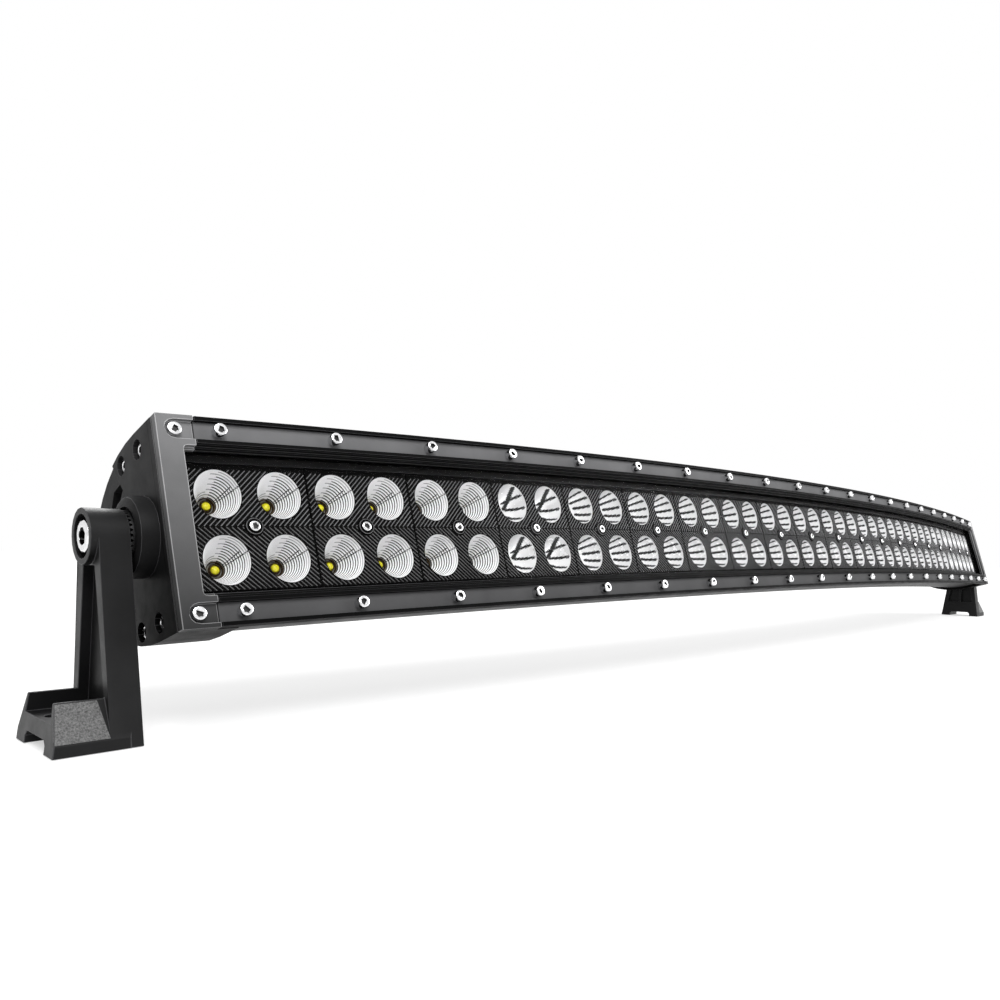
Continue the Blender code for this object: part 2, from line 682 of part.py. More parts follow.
# --- pivot parts -------------------------------------------------------------------------------
def build_bolt(side, mat, parent):
    """Socket-head bolt through the hub into the boss of the end cap."""
    head = HUB_OUT_X - FIT
    seat = head - BOLT_HEAD_L
    profile = [(CAP_IN_X, 0.0), (CAP_IN_X, BOLT_R), (seat, BOLT_R), (seat, BOLT_HEAD_R),
               (head - FIT * 2, BOLT_HEAD_R), (head, BOLT_HEAD_R - FIT * 2), (head, 0.0)]
    bm = turned(profile, CUP_SIDES)
    socket = prism_x(head - HEX_DEEP, head + HEX_DEEP, circle(HEX_ACROSS / math.sqrt(3), 6))
    bm = combine(bm, socket, "DIFFERENCE")
    if side < 0:
        bm = mirrored(bm)
    return add_object("pivot_bolt_" + ("left" if side < 0 else "right"), bm, mat, parent, smooth=35)


def build_washer(side, mat, parent):
    """Toothed washer in the cup of the boss; its radial teeth face the bracket."""
    back = BOSS_X - BOSS_CUP_DEEP + FIT
    inner = BOLT_R + BOLT_FIT
    bm = bmesh.new()
    sides = 2 * WASHER_TEETH
    rings = []
    for radius, toothed in ((inner, False), (WASHER_R, False), (WASHER_R, True), (inner, True)):
        ring = []
        for i, (y, z) in enumerate(circle(radius, sides)):
            x = back + WASHER_T - TOOTH_H * (i % 2) if toothed else back
            ring.append(bm.verts.new((x, y, z)))
        rings.append(ring)
    for ring_a, ring_b in zip(rings, rings[1:] + rings[:1]):
        band(bm, ring_a, ring_b)
    if side < 0:
        bm = mirrored(bm)
    return add_object("toothed_washer_" + ("left" if side < 0 else "right"), bm, mat, parent)


# --- brackets ----------------------------------------------------------------------------------
def build_bracket(side, mat, parent):
    """Cast foot: hub, H-section post, trough-shaped foot with an arch under it and a bolt slot."""
    inner = HUB_IN_X
    post_out = inner + POST_W
    top = PIVOT_Z
    taper = (FOOT_HALF - HUB_R) / top

    def half_at(z):
        return FOOT_HALF - taper * z
    post = [(-FOOT_HALF, 0.0), (-half_at(top), top), (half_at(top), top), (FOOT_HALF, 0.0)]
    bm = prism_x(inner, post_out, post)
    hub = prism_x(inner, HUB_OUT_X, [(y, z + top) for y, z in circle(HUB_R, RIM_SIDES)])
    bm = combine(bm, hub, "UNION")
    wing = [(-FOOT_HALF, 0.0), (-FOOT_HALF, STRIP_H), (-WING_TOP_HALF, WING_H),
            (WING_TOP_HALF, WING_H), (FOOT_HALF, STRIP_H), (FOOT_HALF, 0.0)]
    leaned = sweep([lambda y, z, x=x, lean=lean: Vector((x - lean * z / WING_H, y, z))
                    for x, lean in ((inner + POST_WALL, 0.0), (FOOT_END_X, WING_LEAN))], [wing])
    bm = combine(bm, leaned, "UNION")
    low = WING_H - STRIP_H
    outer_pocket = [(-half_at(low) + POST_WALL, FLOOR_TOP), (-half_at(top) + POST_WALL, top - HUB_R),
                    (half_at(top) - POST_WALL, top - HUB_R), (half_at(low) - POST_WALL, FLOOR_TOP)]
    web_out = (inner + post_out + WEB_T) / 2
    bm = combine(bm, prism_x(web_out, FOOT_END_X + POST_W, outer_pocket), "DIFFERENCE")
    trough = rect(-TROUGH_HALF, TROUGH_HALF, FLOOR_TOP, WING_H + STRIP_H)
    bm = combine(bm, prism_x(post_out - FIT, FOOT_END_X + POST_W, trough), "DIFFERENCE")
    web_in = (inner + post_out - WEB_T) / 2
    for end in (-1, 1):
        pocket = [(end * RIB_T / 2, WING_H), (end * RIB_T / 2, top - POCKET_TOP),
                  (end * (half_at(top) - POST_WALL), top - POCKET_TOP),
                  (end * (half_at(WING_H) - POST_WALL), WING_H)]
        bm = combine(bm, prism_x(inner - POST_W, web_in, pocket), "DIFFERENCE")
    arch = [(-ARCH_HALF, -ARCH_H), (-ARCH_HALF, ARCH_H * 0.6), (-ARCH_HALF + ARCH_H * 0.4, ARCH_H),
            (ARCH_HALF - ARCH_H * 0.4, ARCH_H), (ARCH_HALF, ARCH_H * 0.6), (ARCH_HALF, -ARCH_H)]
    bm = combine(bm, prism_x(inner - POST_W, FOOT_END_X + POST_W, arch), "DIFFERENCE")
    slot_x = (post_out + FOOT_END_X) / 2
    reach = (SLOT_L - SLOT_W) / 2
    slot = []
    for i in range(CUP_SIDES):
        angle = math.tau * (i + 0.5) / CUP_SIDES
        ahead = reach if math.cos(angle) > 0 else -reach
        slot.append((slot_x + ahead + SLOT_W / 2 * math.cos(angle), SLOT_W / 2 * math.sin(angle)))
    bm = combine(bm, prism_z(ARCH_H - STRIP_H, WING_H, slot), "DIFFERENCE")
    bore = [(y, z + top) for y, z in circle(BOLT_R + BOLT_FIT, CUP_SIDES)]
    bm = combine(bm, prism_x(inner - POST_W, HUB_OUT_X, bore), "DIFFERENCE")
    seat = [(y, z + top) for y, z in circle(HUB_CUP_R, RIM_SIDES)]
    bm = combine(bm, prism_x(HUB_OUT_X - BOLT_HEAD_L - 2 * FIT, HUB_OUT_X + POST_W, seat), "DIFFERENCE")
    if side < 0:
        bm = mirrored(bm)
    return add_object("bracket_" + ("left" if side < 0 else "right"), bm, mat, parent, smooth=30)


# --- fittings at the back ----------------------------------------------------------------------
def back_fitting(name, bm, x, mat, parent):
    """Stand a fitting, drawn along +X, on the back of the extrusion at x."""
    seat = on_cut(x)(BACK_AT + CORE_REACH + FIT, 0.0)
    bmesh.ops.rotate(bm, cent=Vector(), matrix=Matrix.Rotation(math.pi / 2, 3, "Z"), verts=bm.verts)
    obj = add_object(name, bm, mat, parent, smooth=35)
    obj.location = seat
    obj.rotation_euler = (0.0, 0.0, math.asin(x / BEND_R))
    return obj


def build_gland(mat, parent):
    """Cable gland: hexagon, neck and domed nut with the cord hole."""
    profile = [(0.0, GLAND_R), (GLAND_L * 0.35, GLAND_R), (GLAND_L * 0.35, GLAND_R * 0.8),
               (GLAND_L * 0.8, GLAND_R * 0.8), (GLAND_L, GLAND_R * 0.6), (GLAND_L, GLAND_BORE_R),
               (0.0, GLAND_BORE_R)]
    return back_fitting("cable_gland", tube(profile, 12), GLAND_X, mat, parent)


def build_vent(mat, parent):
    """Breather plug that lets the housing equalise its pressure."""
    profile = [(0.0, 0.0), (0.0, VENT_R), (VENT_L * 0.7, VENT_R), (VENT_L, VENT_R * 0.8), (VENT_L, 0.0)]
    return back_fitting("breather_vent", turned(profile, 12), VENT_X, mat, parent)


# --- the whole lamp ----------------------------------------------------------------------------
def axis_empty(name, location, lean):
    empty = bpy.data.objects.new(name, None)
    bpy.context.scene.collection.objects.link(empty)
    empty.location = location
    empty.rotation_euler = (lean, 0.0, 0.0)
    return empty


def main():
    for obj in list(bpy.data.objects):
        bpy.data.objects.remove(obj)
    cast_black = material("cast_black", (0.020, 0.020, 0.021), 0.45)
    coat_black = material("coat_black", (0.028, 0.028, 0.030), 0.40)
    rail_grey = material("rail_black", (0.050, 0.050, 0.053), 0.38)
    steel = material("stainless", (0.62, 0.62, 0.63), 0.22, 1.0)
    dark_steel = material("dark_steel", (0.05, 0.05, 0.05), 0.40, 1.0)
    chrome = material("reflector_chrome", (0.80, 0.80, 0.82), 0.12, 1.0)
    clear = material("lens_clear", (0.80, 0.83, 0.86), 0.05, 0.0, 0.25)
    rubber = material("gasket_rubber", (0.012, 0.012, 0.012), 0.70)
    board = material("board_white", (0.55, 0.55, 0.50), 0.50)
    board_green = material("driver_green", (0.03, 0.16, 0.06), 0.50)
    plastic = material("fitting_plastic", (0.015, 0.015, 0.016), 0.50)

    bar = axis_empty("bar_axis", (0.0, 0.0, PIVOT_Z), -LEAN)
    build_housing(coat_black, bar)
    build_lens_gasket(rubber, bar)
    build_lens(clear, bar)
    for index in range(MODULES):
        build_reflector(index, chrome, bar)
    for index in range(BOARDS):
        build_led_board(index, board, bar)
    for index in range(DRIVERS):
        build_driver(index, board_green, bar)
    build_gland(plastic, bar)
    build_vent(plastic, bar)
    for side in (-1, 1):
        build_rail(side, rail_grey, bar)
        build_end_cap(side, coat_black, bar)
        build_end_bezel(side, coat_black, bar)
        build_bolt(side, steel, bar)
        build_washer(side, dark_steel, bar)
        build_bracket(side, cast_black, None)


main()
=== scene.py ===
"""Looks of the curved double-row light bar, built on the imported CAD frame. Metres throughout."""
import math
import random

import bmesh
import bpy
from mathutils import Matrix, Vector


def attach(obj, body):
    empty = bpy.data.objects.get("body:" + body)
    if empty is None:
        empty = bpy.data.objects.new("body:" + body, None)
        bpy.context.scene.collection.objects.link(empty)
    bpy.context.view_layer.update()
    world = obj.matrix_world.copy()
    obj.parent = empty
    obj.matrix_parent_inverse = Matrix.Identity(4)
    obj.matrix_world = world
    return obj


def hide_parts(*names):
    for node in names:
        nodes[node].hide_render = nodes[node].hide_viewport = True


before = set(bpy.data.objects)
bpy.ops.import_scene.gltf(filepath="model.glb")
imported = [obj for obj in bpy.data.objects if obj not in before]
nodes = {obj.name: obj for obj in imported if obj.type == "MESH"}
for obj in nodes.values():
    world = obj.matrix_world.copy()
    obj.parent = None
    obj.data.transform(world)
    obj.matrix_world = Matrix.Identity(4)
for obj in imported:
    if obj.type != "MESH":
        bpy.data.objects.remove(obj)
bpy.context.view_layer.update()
random.seed(4)

# --- sizes repeated from the CAD source ---------------------------------------------------------
LAMP_PITCH = 0.025
ROW_PITCH = 0.027
MODULES = 20
FLOOD_MODULES = 3
MODULE_HALF_W = 0.02475
MODULE_HALF_H = 0.0258
MODULE_DEPTH = 0.0165
FLOOD_R = 0.0101
SPOT_R = 0.0102
EXIT_R = 0.0030
SQUASH = 0.91               # the cups are a little narrower along the bar than they are high
BEND_R = 4.11
LEAN = math.radians(17)
PIVOT_Z = 0.0757
PIVOT_BACK = 0.0139
END_X = 0.50997
PIVOT_ARC = math.sqrt(BEND_R ** 2 - END_X ** 2) - PIVOT_BACK
CHANNEL_FLOOR = -0.0077      # depths count backwards from the lamp faces
SCREW_LINE = 0.0358
CHIP_TOP = 0.0159
CAP_SCREWS = ((-0.0037, 0.0344), (0.0138, 0.0343), (-0.0037, -0.0344), (0.0138, -0.0343),
              (0.0213, -0.0245))
CAP_SEAT_DEEP = 0.0028
CHANNEL_HALF = 0.0038
BOSS_FACE = END_X + 0.0072
WASHER_SEAT = 0.0019        # depth of the washer's seat below the face of the boss

UPRIGHT = Matrix.Translation((0, 0, PIVOT_Z)) @ Matrix.Rotation(-LEAN, 4, "X")


def on_arc(s, depth=0.0, z=0.0):
    """Frame of a point on the bend: its x along the bar, y back from the lamps and z up."""
    angle = s / BEND_R
    radius = BEND_R - depth
    place = Matrix.Translation((radius * math.sin(angle), PIVOT_ARC - radius * math.cos(angle), z))
    return UPRIGHT @ place @ Matrix.Rotation(angle, 4, "Z")


def on_cut(x, depth, z):
    """The same frame where the bend reaches a given x."""
    return on_arc(math.asin(x / (BEND_R - depth)) * BEND_R, depth, z)


# --- materials ---------------------------------------------------------------------------------
class Nodes:
    """A node material under construction, read from left to right."""

    def __init__(self, name):
        self.mat = bpy.data.materials.new(name)
        self.mat.use_nodes = True
        self.tree = self.mat.node_tree
        self.shader = self.tree.nodes["Principled BSDF"]
        self.coords = self.add("ShaderNodeTexCoord").outputs["Object"]

    def add(self, kind, **settings):
        node = self.tree.nodes.new(kind)
        for key, value in settings.items():
            setattr(node, key, value)
        return node

    def link(self, source, target):
        self.tree.links.new(source, target)

    def noise(self, scale, detail=3.0, roughness=0.55):
        node = self.add("ShaderNodeTexNoise")
        node.inputs["Scale"].default_value = scale
        node.inputs["Detail"].default_value = detail
        node.inputs["Roughness"].default_value = roughness
        self.link(self.coords, node.inputs["Vector"])
        return node.outputs["Fac"]

    def spread(self, value, low, high, from_low=0.3, from_high=0.7):
        node = self.add("ShaderNodeMapRange")
        for key, number in (("From Min", from_low), ("From Max", from_high),
                            ("To Min", low), ("To Max", high)):
            node.inputs[key].default_value = number
        self.link(value, node.inputs["Value"])
        return node.outputs["Result"]

    def math(self, operation, a, b=0.0):
        node = self.add("ShaderNodeMath", operation=operation)
        for socket, value in zip(node.inputs, (a, b)):
            if isinstance(value, (int, float)):
                socket.default_value = value
            else:
                self.link(value, socket)
        return node.outputs["Value"]

    def mix(self, factor, a, b):
        node = self.add("ShaderNodeMix", data_type="RGBA")
        self.link(factor, node.inputs["Factor"])
        for socket, value in ((node.inputs["A"], a), (node.inputs["B"], b)):
            if isinstance(value, tuple):
                socket.default_value = (*value, 1.0)
            else:
                self.link(value, socket)
        return node.outputs["Result"]

    def bump(self, height, strength, distance, below=None):
        node = self.add("ShaderNodeBump")
        node.inputs["Distance"].default_value = distance
        if isinstance(strength, (int, float)):
            node.inputs["Strength"].default_value = strength
        else:
            self.link(strength, node.inputs["Strength"])
        self.link(height, node.inputs["Height"])
        if below is not None:
            self.link(below, node.inputs["Normal"])
        return node.outputs["Normal"]

    def split(self):
        """X, Y and Z of the object's coordinates."""
        node = self.add("ShaderNodeSeparateXYZ")
        self.link(self.coords, node.inputs["Vector"])
        return node.outputs["X"], node.outputs["Y"], node.outputs["Z"]

    def within(self, value, low, high):
        """1 where the value lies between two limits."""
        above = self.math("GREATER_THAN", value, low)
        return self.math("MULTIPLY", above, self.math("LESS_THAN", value, high))

    def bar_place(self):
        """Distance along the bar, height above its middle and depth behind the lamp faces."""
        x, y, z = self.split()
        up = self.math("SUBTRACT", z, PIVOT_Z)
        height = self.math("ADD", self.math("MULTIPLY", y, math.sin(LEAN)),
                           self.math("MULTIPLY", up, math.cos(LEAN)))
        back = self.math("SUBTRACT", self.math("MULTIPLY", y, math.cos(LEAN)),
                         self.math("MULTIPLY", up, math.sin(LEAN)))
        reach = self.math("SUBTRACT", PIVOT_ARC, back)
        squares = self.math("ADD", self.math("MULTIPLY", reach, reach), self.math("MULTIPLY", x, x))
        depth = self.math("SUBTRACT", BEND_R, self.math("SQRT", squares))
        return self.math("ABSOLUTE", x), height, depth

    def set(self, **values):
        for key, value in values.items():
            self.shader.inputs[key.replace("_", " ")].default_value = value


def shade(colour, factor):
    return tuple(min(1.0, c * factor) for c in colour)


SEAM_COLOUR = (0.0015, 0.0015, 0.0015)
SEAM_HALF = 0.0002
SEAM_PAST_END = 0.0003      # seams stop just beyond the ends of the bend, short of the bosses


def coat(name, colour, rough, grain=2600.0, bump=0.25, specular=0.5, metallic=0.0, vary=0.25,
         painted_shade=None, lines=(), lit_channel_colour=None):
    """Powder coat, casting skin, plastic or plated metal, by grain, roughness and metallic.

    The height gradient is (lower height, upper height, share of the colour left at the lower one):
    painted shade that darkens the colour towards the bottom; lines are dark seams at depths behind the
    lamp faces; the channel colour is painted light on the floor of the screw channel, against the
    black of the rail's ridges and ledges.
    """
    n = Nodes(name)
    fine = n.noise(grain, 2.0)
    streak = n.spread(n.noise(38.0, 4.0), 0.0, 1.0)
    tint = n.mix(streak, shade(colour, 1 - vary), shade(colour, 1 + vary))
    if painted_shade or lines or lit_channel_colour:
        along, height, depth = n.bar_place()
    # Painted light and shade: the floor of the screw channel is painted grey, and the rail's ridges
    # and ledges black.
    if lit_channel_colour:
        from_line = n.math("ABSOLUTE", n.math("SUBTRACT", n.math("ABSOLUTE", height), SCREW_LINE))
        lit_channel_mask = n.math("LESS_THAN", from_line, CHANNEL_HALF - 0.0001)
        floor = n.mix(streak, shade(lit_channel_colour, 1 - vary), shade(lit_channel_colour, 1 + vary))
        tint = n.mix(lit_channel_mask, tint, floor)
    # Painted shade: the colour darkens from the upper height down to the lower one.
    if painted_shade:
        low, high, left = painted_shade
        share = n.spread(height, left, 1.0, low, high)
        tint = n.mix(share, (0.0, 0.0, 0.0), tint)
    for at in lines:
        seam = n.math("MULTIPLY", n.within(depth, at - SEAM_HALF, at + SEAM_HALF),
                      n.math("LESS_THAN", along, END_X + SEAM_PAST_END))
        tint = n.mix(seam, tint, SEAM_COLOUR)
    n.link(tint, n.shader.inputs["Base Color"])
    n.link(n.spread(n.noise(140.0, 3.0), rough * 0.88, rough * 1.14), n.shader.inputs["Roughness"])
    n.link(n.bump(fine, bump, 0.00008), n.shader.inputs["Normal"])
    n.set(Metallic=metallic, Specular_IOR_Level=specular)
    return n.mat


# The rough panels of a foot: outside a line that slants with height, up to near its end, between two
# heights, and on the slopes at front and back.
PANEL_START = 0.5290
PANEL_SLANT = 0.19
PANEL_STOP = 0.5478
PANEL_LOW = 0.0046
PANEL_HIGH = 0.0176
PANEL_SLOPE_Y = 0.0228      # reach of the slope from the middle of the foot, at the ground
PANEL_SLOPE = 0.457


def cast_foot(name, colour, rough_colour):
    """Satin black casting, left rough on the sloping panels of the foot."""
    n = Nodes(name)
    x, y, z = n.split()
    x = n.math("ABSOLUTE", x)
    y = n.math("ABSOLUTE", y)
    slant = n.math("MULTIPLY", z, PANEL_SLANT)
    beyond = n.math("GREATER_THAN", n.math("SUBTRACT", x, slant), PANEL_START)
    above = n.math("GREATER_THAN", z, PANEL_LOW)
    below = n.math("LESS_THAN", z, PANEL_HIGH)
    reach = n.math("ADD", y, n.math("MULTIPLY", z, PANEL_SLOPE))
    slope = n.math("GREATER_THAN", reach, PANEL_SLOPE_Y)
    mask = n.math("MULTIPLY", n.math("MULTIPLY", beyond, above), n.math("MULTIPLY", below, slope))
    mask = n.math("MULTIPLY", mask, n.math("LESS_THAN", x, PANEL_STOP))
    pebble = n.noise(1500.0, 4.0, 0.7)
    patchy = n.mix(n.spread(n.noise(45.0, 4.0), 0.0, 1.0), shade(colour, 0.75), shade(colour, 1.25))
    rough_mix = n.mix(n.spread(pebble, 0.0, 1.0, 0.35, 0.65), shade(rough_colour, 0.45),
                      shade(rough_colour, 1.5))
    n.link(n.mix(mask, patchy, rough_mix), n.shader.inputs["Base Color"])
    fine = n.bump(n.noise(3000.0, 2.0), 0.25, 0.00006)
    n.link(n.bump(pebble, mask, 0.0005, below=fine), n.shader.inputs["Normal"])
    n.link(n.spread(n.noise(160.0, 3.0), 0.36, 0.46), n.shader.inputs["Roughness"])
    n.set(Specular_IOR_Level=0.15)
    return n.mat


def clear_lens(name):
    """Nearly clear lens with a faint smear and a soft gloss."""
    n = Nodes(name)
    smear = n.noise(9.0, 3.0)
    n.link(n.mix(n.spread(smear, 0.0, 1.0), (0.02, 0.02, 0.02), (0.05, 0.05, 0.055)),
           n.shader.inputs["Base Color"])
    n.link(n.spread(n.noise(60.0), 0.10, 0.16), n.shader.inputs["Roughness"])
    n.link(n.spread(smear, 0.012, 0.02), n.shader.inputs["Alpha"])
    n.set(Specular_IOR_Level=0.5)
    return n.mat


def glowless_phosphor(name, inner, outer):
    """Phosphor of a light chip: yellow, a little mottled, under a glossy dome."""
    n = Nodes(name)
    n.link(n.mix(n.spread(n.noise(2200.0, 2.0), 0.0, 1.0), inner, outer),
           n.shader.inputs["Base Color"])
    n.link(n.spread(n.noise(600.0), 0.12, 0.2), n.shader.inputs["Roughness"])
    n.link(n.bump(n.noise(1800.0), 0.08, 0.00005), n.shader.inputs["Normal"])
    n.set(Specular_IOR_Level=0.5)
    return n.mat


def worked_metal(n, rough, metallic):
    """Fine marks and uneven gloss of worked metal."""
    n.link(n.spread(n.noise(1500.0), rough * 0.8, rough * 1.3), n.shader.inputs["Roughness"])
    n.link(n.bump(n.noise(2400.0, 2.0), 0.08, 0.00004), n.shader.inputs["Normal"])
    n.set(Metallic=metallic)


def brushed(name, colour, rough):
    """Bare or blackened metal of the screws and washers."""
    n = Nodes(name)
    n.link(n.mix(n.spread(n.noise(900.0, 2.0), 0.0, 1.0), shade(colour, 0.9), shade(colour, 1.06)),
           n.shader.inputs["Base Color"])
    worked_metal(n, rough, 1.0)
    return n.mat


BOLT_SOCKET_R = 0.0033


def bolt_steel(name, colour, rough):
    """Bright bolt head with painted shade inside its socket."""
    n = Nodes(name)
    _, y, z = n.split()
    up = n.math("SUBTRACT", z, PIVOT_Z)
    across = n.math("ADD", n.math("MULTIPLY", up, up), n.math("MULTIPLY", y, y))
    socket = n.math("LESS_THAN", across, BOLT_SOCKET_R ** 2)
    bright = n.mix(n.spread(n.noise(900.0, 2.0), 0.0, 1.0), shade(colour, 0.88), shade(colour, 1.06))
    # Painted shade: the socket's circle is painted near black.
    n.link(n.mix(socket, bright, (0.02, 0.02, 0.02)), n.shader.inputs["Base Color"])
    worked_metal(n, rough, 0.95)
    return n.mat


EXTRUSION = coat("extrusion_coat", (0.013, 0.013, 0.0134), 0.45, specular=0.2)
# Cap: painted shade, darker towards the bottom, and a dark seam.
CAP = coat("cap_coat", (0.022, 0.022, 0.0227), 0.46, bump=0.3, specular=0.05,
           painted_shade=(-0.036, 0.038, 0.05), lines=(-0.0021,))
# Bezel: painted shade, darker towards the bottom, and a dark seam.
BEZEL = coat("bezel_coat", (0.165, 0.165, 0.168), 0.48, bump=0.3, specular=0.08, vary=0.12,
             painted_shade=(-0.042, 0.041, 0.14), lines=(-0.0064,))
# Rail: painted light in the screw channel, painted shade on its ridges and ledges, and painted shade
# darker towards the bottom.
RAIL = coat("rail_coat", (0.0028, 0.0028, 0.0030), 0.5, bump=0.25, specular=0.03, vary=0.12,
            painted_shade=(-0.042, 0.041, 0.5), lit_channel_colour=(0.125, 0.125, 0.128))
# Painted highlights: lighter colours for the bevelled edges of the bezels and rails, with painted
# shade darker towards the bottom.
EDGE = coat("coat_edge_highlight", (0.34, 0.34, 0.345), 0.4, specular=0.3, vary=0.15,
            painted_shade=(-0.042, 0.041, 0.5))
RAIL_EDGE_HIGHLIGHT = coat("rail_edge_highlight", (0.060, 0.060, 0.062), 0.45, specular=0.1, vary=0.15,
                 painted_shade=(-0.042, 0.041, 0.5))
# Painted highlight for the bevelled edges of the caps, feet and housing.
CAST_EDGE_HIGHLIGHT = coat("cast_edge_highlight", (0.040, 0.040, 0.042), 0.42, specular=0.2)
CAST = cast_foot("cast_foot", (0.0075, 0.0075, 0.0078), (0.13, 0.13, 0.13))
LENS = clear_lens("lens_clear")
RUBBER = coat("gasket_rubber", (0.003, 0.003, 0.003), 0.7, specular=0.03)
STEEL = brushed("stainless", (0.80, 0.80, 0.81), 0.16)
BOLT = bolt_steel("bolt_steel", (0.80, 0.80, 0.81), 0.2)
# Painted shade inside the screw sockets.
SOCKET_SHADE = coat("socket_painted_shade", (0.012, 0.012, 0.012), 0.5, metallic=0.3)
DARK_STEEL = brushed("dark_steel", (0.045, 0.045, 0.046), 0.42)
BOARD = coat("board_white", (0.42, 0.41, 0.36), 0.45, grain=1500.0)
DRIVER = coat("driver_green", (0.02, 0.12, 0.045), 0.4)
FITTING = coat("fitting_plastic", (0.014, 0.014, 0.015), 0.5)
FACE = coat("module_face", (0.0015, 0.0015, 0.0015), 0.6, specular=0.02)
# Painted highlight: the ridges and the lip in the screw boss are painted light grey on the black face.
RIDGE_HIGHLIGHT = coat("module_ridge", (0.19, 0.19, 0.194), 0.5, specular=0.1, vary=0.3)
CUP_WHITE = coat("cup_white", (0.97, 0.97, 0.98), 0.35, grain=1400.0, bump=0.05, metallic=0.2,
                 vary=0.02)
# Painted reflection and shade colours of the wide cups.
CUP_PAINTED_GREY = coat("cup_painted_grey", (0.42, 0.42, 0.43), 0.30, metallic=0.2, vary=0.10)
CUP_PAINTED_DARK = coat("cup_painted_dark", (0.020, 0.020, 0.020), 0.4, specular=0.1, vary=0.2)
CHROME = coat("cup_chrome", (0.97, 0.97, 0.98), 0.25, grain=900.0, bump=0.04, metallic=0.3,
              vary=0.01)
# Painted reflection colours of the narrow-beam cups.
CHROME_PAINTED_GREY = coat("cup_chrome_painted_grey", (0.30, 0.30, 0.31), 0.25, metallic=0.4, vary=0.15)
CHROME_PAINTED_DARK = coat("cup_chrome_painted_dark", (0.010, 0.010, 0.010), 0.3, specular=0.2, vary=0.2)
PHOSPHOR = glowless_phosphor("led_phosphor", (0.62, 0.56, 0.01), (0.90, 0.84, 0.03))
COLLAR = coat("led_collar", (0.055, 0.034, 0.013), 0.45, specular=0.3)


# --- CAD nodes that stay -------------------------------------------------------------------------
def smooth_by_angle(limit):
    """Modifier tree that shades faces smooth except across edges sharper than the limit."""
    tree = bpy.data.node_groups.new("smooth_by_angle", "GeometryNodeTree")
    for way in ("INPUT", "OUTPUT"):
        tree.interface.new_socket("Geometry", in_out=way, socket_type="NodeSocketGeometry")
    source = tree.nodes.new("NodeGroupInput")
    drop = tree.nodes.new("GeometryNodeRemoveAttribute")
    drop.inputs["Name"].default_value = "custom_normal"
    bend = tree.nodes.new("GeometryNodeInputMeshEdgeAngle")
    gentle = tree.nodes.new("ShaderNodeMath")
    gentle.operation = "LESS_THAN"
    gentle.inputs[1].default_value = math.radians(limit)
    edges = tree.nodes.new("GeometryNodeSetShadeSmooth")
    edges.domain = "EDGE"
    faces = tree.nodes.new("GeometryNodeSetShadeSmooth")
    faces.domain = "FACE"
    target = tree.nodes.new("NodeGroupOutput")
    tree.links.new(bend.outputs["Unsigned Angle"], gentle.inputs[0])
    tree.links.new(gentle.outputs["Value"], edges.inputs["Shade Smooth"])
    for a, b in ((source, drop), (drop, edges), (edges, faces), (faces, target)):
        tree.links.new(a.outputs["Geometry"], b.inputs["Geometry"])
    return tree


SOFT = smooth_by_angle(24.0)
BEVEL_ANGLE = 34.0          # edges sharper than this, in degrees, are rounded


def dress(name, *mats, bevel=0.0, segments=2, flat=False):
    """Give a CAD node its materials and round its sharp edges; the bevels take the last material,
    which on the coated and cast parts is a lighter colour: a painted highlight along the edges.

    flat first joins faces that lie in one plane, so that no seam between them is rounded.
    """
    obj = nodes[name]
    obj.data.materials.clear()
    for mat in mats:
        obj.data.materials.append(mat)
    weld = obj.modifiers.new("weld", "WELD")
    weld.merge_threshold = 1e-5
    if flat:
        joined = obj.modifiers.new("flat", "DECIMATE")
        joined.decimate_type = "DISSOLVE"
        joined.angle_limit = math.radians(0.5)
    soft = obj.modifiers.new("soft", "NODES")
    soft.node_group = SOFT
    if bevel:
        rounding = obj.modifiers.new("edges", "BEVEL")
        rounding.width = bevel
        rounding.segments = segments
        rounding.limit_method = "ANGLE"
        rounding.angle_limit = math.radians(BEVEL_ANGLE)
        rounding.harden_normals = True
        rounding.material = len(mats) - 1
    return obj


for end in ("left", "right"):
    dress("end_cap_" + end, CAP, CAST_EDGE_HIGHLIGHT, bevel=0.00035, flat=True)
    dress("end_bezel_" + end, BEZEL, EDGE, bevel=0.0003)
    dress("bracket_" + end, CAST, CAST_EDGE_HIGHLIGHT, bevel=0.0004)
    dress("pivot_bolt_" + end, BOLT, bevel=0.0003)
for end in ("top", "bottom"):
    dress("rail_" + end, RAIL, RAIL_EDGE_HIGHLIGHT, bevel=0.0001, segments=1)
dress("housing", EXTRUSION, CAST_EDGE_HIGHLIGHT, bevel=0.0003, segments=1)
dress("lens", LENS)
dress("lens_gasket", RUBBER)
dress("cable_gland", FITTING, bevel=0.0003)
dress("breather_vent", FITTING, bevel=0.0003)
for number in (1, 2, 3, 4):
    dress("led_board_%d" % number, BOARD)
for number in (1, 2):
    dress("driver_board_%d" % number, DRIVER)


# --- mesh helpers --------------------------------------------------------------------------------
def finish_mesh(name, bm, mats, smooth):
    """Mesh from bmesh, smooth except across edges sharper than an angle in degrees."""
    bmesh.ops.remove_doubles(bm, verts=bm.verts, dist=1e-7)
    bmesh.ops.recalc_face_normals(bm, faces=bm.faces)
    mesh = bpy.data.meshes.new(name)
    bm.to_mesh(mesh)
    bm.free()
    for mat in mats:
        mesh.materials.append(mat)
    mesh.shade_smooth()
    mesh.set_sharp_from_angle(angle=math.radians(smooth))
    return mesh


def place(name, mesh, matrix, body, slot, replaced=()):
    """Put a piece on its body, in place of the CAD nodes that it replaces."""
    obj = bpy.data.objects.new(name, mesh)
    bpy.context.scene.collection.objects.link(obj)
    obj.matrix_world = matrix
    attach(obj, body)
    if replaced:
        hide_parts(*replaced)
    return obj


